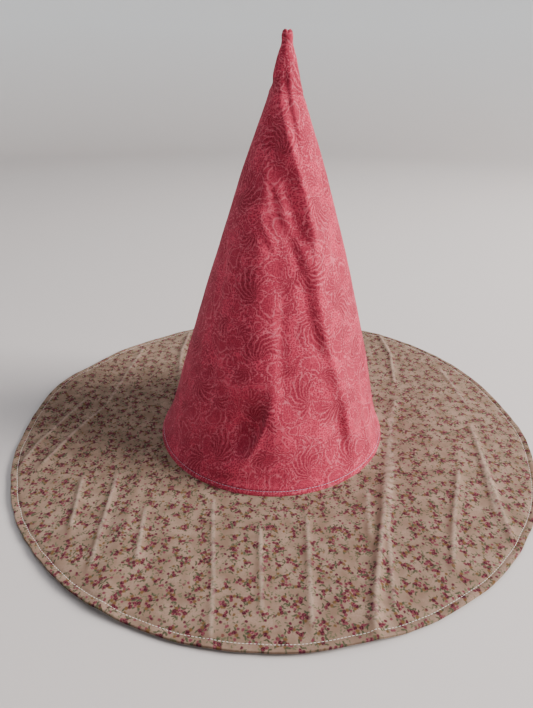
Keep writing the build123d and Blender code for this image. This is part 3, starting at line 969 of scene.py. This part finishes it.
def scrolled_cotton(name):
    """Fans, drops, dots and scrolls, rose on rose."""
    material, tree = new_material(name)
    place, bent = cloth_place(tree, 5.0, 17.0)
    wavy = shaken(tree, bent, (2.6, 2.6, 0), 5.0)
    cloud = add(tree, "TexNoise 2D", place, Scale=1 / 13, Detail=2.0)
    # small scrolls and dark dots that fill every space
    fine = contours(tree, wavy, 6.5, 6.0)
    dots = add(tree, "TexVoronoi 2D", wavy, Scale=1 / 1.7, Randomness=0.7)
    dotted = below(tree, dots.outputs["Distance"], 0.30, 0.1)
    patch = below(tree, cloud.outputs[0], 0.52, 0.03)
    broad = contours(tree, wavy, 19.0, 8.0)
    colour = printed(tree, rose, (rose_cloud, below(tree, cloud.outputs[0], 0.5, 0.05)),
                     (rose_light, below(tree, fine, 0.1, 0.05), 0.2), (rose_deep, dotted, patch, 0.75),
                     (rose_light, below(tree, broad, 0.055, 0.03), 0.3),
                     (rose_dark, near_to(tree, broad, 0.2, 0.07), dotted, 0.7))
    # bent drops, small and large, with scalloped rims
    for size, reach, offset in ((17.0, 7.5, 310.0), (27.0, 12.0, 90.0)):
        ring, scallop = bent_drop(tree, wavy, size, reach, offset)
        ruffled = add(tree, "Math MULTIPLY_ADD", scallop, -0.13, ring)
        rims = add(tree, "Math MAXIMUM", near_to(tree, ruffled, 1.0, 0.05), near_to(tree, ring, 0.66, 0.045))
        colour = printed(
            tree, colour, (drop_fill, below(tree, ruffled, 1.0, 0.04), 0.5),
            (rose_dark, near_to(tree, ring, 0.86, 0.08), below(tree, scallop, 0.45, 0.2), 0.75),
            (rose_deep, near_to(tree, ring, 0.36, 0.17), below(tree, scallop, 0.55, 0.2), 0.9),
            (rose_light, rims, 0.36))
    # fans of leaves, small and large
    for size, lobes, reach, offset in ((31.0, 6, 12.0, 120.0), (43.0, 8, 21.0, 0.0)):
        leaves, heart, edge, near = leaf_fan(tree, wavy, size, lobes, reach, offset)
        colour = printed(tree, colour, (rose_deep, near, dotted, 0.9), (leaf_fill, leaves, 0.6),
                         (rose_dark, heart, 0.5), (rose_dark, leaves, dotted, 0.6), (rose_light, edge, 0.34))
    cotton(tree, colour, weave_bump(tree, place, 0.7, 0.22), 0.9)
    print("material", name, len(tree.nodes), "nodes")
    return material


scrolled = scrolled_cotton("printed_cotton_scrolls")

# %% [markdown]
# ## Plain finishes
# The stiff plies are pressed non-woven interfacing. The threads are spun polyester, a little shinier
# than the cotton: pale grey on the brim, and a cool lilac grey on the crown.

# %% Interfacing and threads
def plain_finish(name, code, rough, grain_mm, strength, sheen=0.1):
    """One colour with a fine uneven grain in the piece's own coordinates."""
    material, tree = new_material(name)
    place = add(tree, "TexCoord").outputs["Object"]
    grain = add(tree, "TexNoise", place, Scale=1 / (grain_mm * MM), Detail=2.0)
    bump = add(tree, "Bump", Height=grain.outputs[0], Strength=strength, Distance=0.0002)
    surface = add(tree, "BsdfPrincipled", Base_Color=linear(code), Normal=bump, Roughness=rough,
                  IOR=1.5, Specular_IOR_Level=0.3, Sheen_Weight=sheen)
    add(tree, "OutputMaterial", surface)
    return material


interfacing = plain_finish("pressed_interfacing", "#e4e0d8", 0.95, 1.2, 0.4)
crown_thread = plain_finish("spun_thread_lilac_grey", "#b9a9c4", 0.55, 0.2, 0.3)
brim_thread = plain_finish("spun_thread_pale_grey", "#d8d3cb", 0.55, 0.2, 0.3)

# %% [markdown]
# ## Finishes, the body and the flat cuts
# Every piece rides on the hat's one body, takes its finish, and hides the plain engineering solid that it
# replaces. Cloth pieces also print the size of the flat cut they came from.

# %% Pieces, slots and flat cuts
crown_slant = float(np.interp(seat, slant_z, slant))
lining_slant = float(np.interp(0.5, slant_z, slant) - np.interp(lining_tip, slant_z, slant))
stiffening_slant = float(np.interp(stiffening_foot, slant_z, slant))
stiffening_cut = float(np.interp(stiffening_top, slant_z, slant))


def sector_cut(far, turned, back=back_allowance, cut_off=0.0):
    """Width, length and area in metres of a cut cone: a sector and an allowance along both sides.

    turned is the cloth turned in at the foot, and cut_off is how much of the tip is cut away.
    """
    half = math.pi * sector
    out = far + turned
    area = (out ** 2 - cut_off ** 2) * half + 2 * back * out
    return (2 * out * math.sin(half) + 2 * back) * MM, out * MM, area * MM ** 2


def ring_cut(outer, inner):
    """Width, length and area in metres of a flat ring."""
    return 2 * outer * MM, 2 * outer * MM, math.pi * (outer ** 2 - inner ** 2) * MM ** 2


brim_inner = foot_radius - 1.0
work = [
    (crown_cloth, scrolled, "crown_cotton", "crown_outer", sector_cut(crown_slant, 6.8),
     "stretched", [crown_stiffening]),
    (crown_stiffening, interfacing, "interfacing", "crown_interfacing",
     sector_cut(stiffening_slant, 0, 0, stiffening_cut), "stretched", [brim_upper]),
    (lining_cloth, flowered, "lining_cotton", "crown_lining", sector_cut(lining_slant, 9.3),
     "hung", [crown_stiffening]),
    (brim_upper, flowered, "brim_cotton", "brim_top", ring_cut(brim_radius + 8.4, brim_inner - 6),
     "laid", [brim_stiffening]),
    (brim_stiffening, interfacing, "interfacing", "brim_interfacing",
     ring_cut(brim_radius - 8.5, brim_inner), "laid", [brim_lower]),
    (brim_lower, flowered, "brim_cotton", "brim_underside", ring_cut(brim_radius + 8.4, brim_inner - 8),
     "laid", []),
]
thread_rows = [
    (brim_thread, "brim_thread", [
        (brim_needle, "brim_topstitch_needle_thread"), (brim_bobbin, "brim_topstitch_bobbin_thread"),
        (brim_seam, "brim_edge_seam_thread")]),
    (crown_thread, "crown_thread", [
        (crown_needle, "crown_topstitch_needle_thread"), (crown_bobbin, "crown_topstitch_bobbin_thread"),
        (crown_seam, "crown_to_brim_seam_thread"), (crown_back, "crown_back_seam_thread"),
        (lining_back, "lining_back_seam_thread"), (lining_slip, "lining_hem_slipstitch_thread")]),
]
work += [(row, finish, slot, node, None, None, None) for finish, slot, rows in thread_rows
         for row, node in rows]
for piece, finish, slot, node, cut, held, under in work:
    piece.data.materials.append(finish)
    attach(piece, "root")
    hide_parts(node)
    if cut:
        print(f"{piece.name}: cut {cut[0]:.3f} x {cut[1]:.3f} m, {cut[2]:.4f} m2")

# %% [markdown]
# ## Floor, light and camera
# A pale floor, one large soft light from the right and slightly in front, and a pale sky for fill.

# %% The studio
def stage_floor(floor_radius, bend, wall, z):
    """A round floor whose rim bends up into a wall: a flat disc, a quarter circle, a straight rise."""
    turn = np.linspace(0, 2 * np.pi, 96, endpoint=False)
    arc = np.linspace(0, np.pi / 2, 12)
    far = np.concatenate([[0.01, 0.5, 1.0], floor_radius + bend * np.sin(arc), [floor_radius + bend]])
    up = np.concatenate([[0, 0, 0], bend * (1 - np.cos(arc)), [bend + wall]]) + z
    grid = np.stack([far[:, None] * np.sin(turn), -far[:, None] * np.cos(turn),
                     up[:, None] + 0 * turn], -1) / MM
    rows, columns = grid.shape[:2]
    corners = np.append(quads(*np.indices((rows - 1, columns)), rows, columns), np.arange(columns))
    sizes = np.append(np.full((rows - 1) * columns, 4), columns)
    floor = fill_mesh("studio_floor", (grid.reshape(-1, 3), corners, sizes, None))
    material, tree = new_material("matte_board")
    place = add(tree, "SeparateXYZ", add(tree, "TexCoord").outputs["Object"])
    height_share = add(tree, "MapRange", place.outputs[2], 0.0, 0.5, 0.0, 1.0, clamp=True)
    paint = printed(tree, "#c6c0be", ("#ccd0d3", height_share))
    add(tree, "OutputMaterial", add(tree, "BsdfPrincipled", Base_Color=paint, Roughness=0.75))
    floor.data.materials.append(material)


stage_floor(1.9, 0.9, 1.4, -0.0002)


def area_light(name, azimuth, elevation, distance, size, power, colour):
    """A square soft light aimed at the hat; azimuth is from the front towards +X, in degrees."""
    light = bpy.data.lights.new(name, "AREA")
    light.size, light.energy, light.color = size, power, linear(colour)[:3]
    lamp = bpy.data.objects.new(name, light)
    turn, up = math.radians(azimuth), math.radians(elevation)
    way = np.array([math.sin(turn) * math.cos(up), -math.cos(turn) * math.cos(up), math.sin(up)])
    lamp.location = way * distance + np.array([0, 0, 0.12])
    lamp.rotation_mode = "QUATERNION"
    lamp.rotation_quaternion = Vector(-way).to_track_quat("-Z", "Y")
    bpy.context.scene.collection.objects.link(lamp)


area_light("window_light", 84, 30, 2.6, 1.15, 176.0, "#fffaf6")
area_light("ceiling_bounce", 180, 78, 1.8, 1.5, 18.0, "#f2f4fa")
world = bpy.data.worlds.new("pale_room")
world.use_nodes = True
world.node_tree.nodes.clear()
sky = add(world.node_tree, "Background", Color=linear("#d9dee2"), Strength=0.02)
add(world.node_tree, "OutputWorld", sky)
bpy.context.scene.world = world

# %% The camera
camera_data = bpy.data.cameras.new("camera")
camera_data.sensor_width, camera_data.lens = 36.0, 36.0 * 532 / 708
camera_data.clip_start = 0.01
camera = bpy.data.objects.new("camera", camera_data)
camera.matrix_world = (Matrix.Translation((-0.0063, -0.3837, 0.2665))
                       @ Matrix.Rotation(math.radians(90 - 27.28), 4, "X")
                       @ Matrix.Rotation(math.radians(0.31), 4, "Z"))
bpy.context.scene.collection.objects.link(camera)
bpy.context.scene.camera = camera
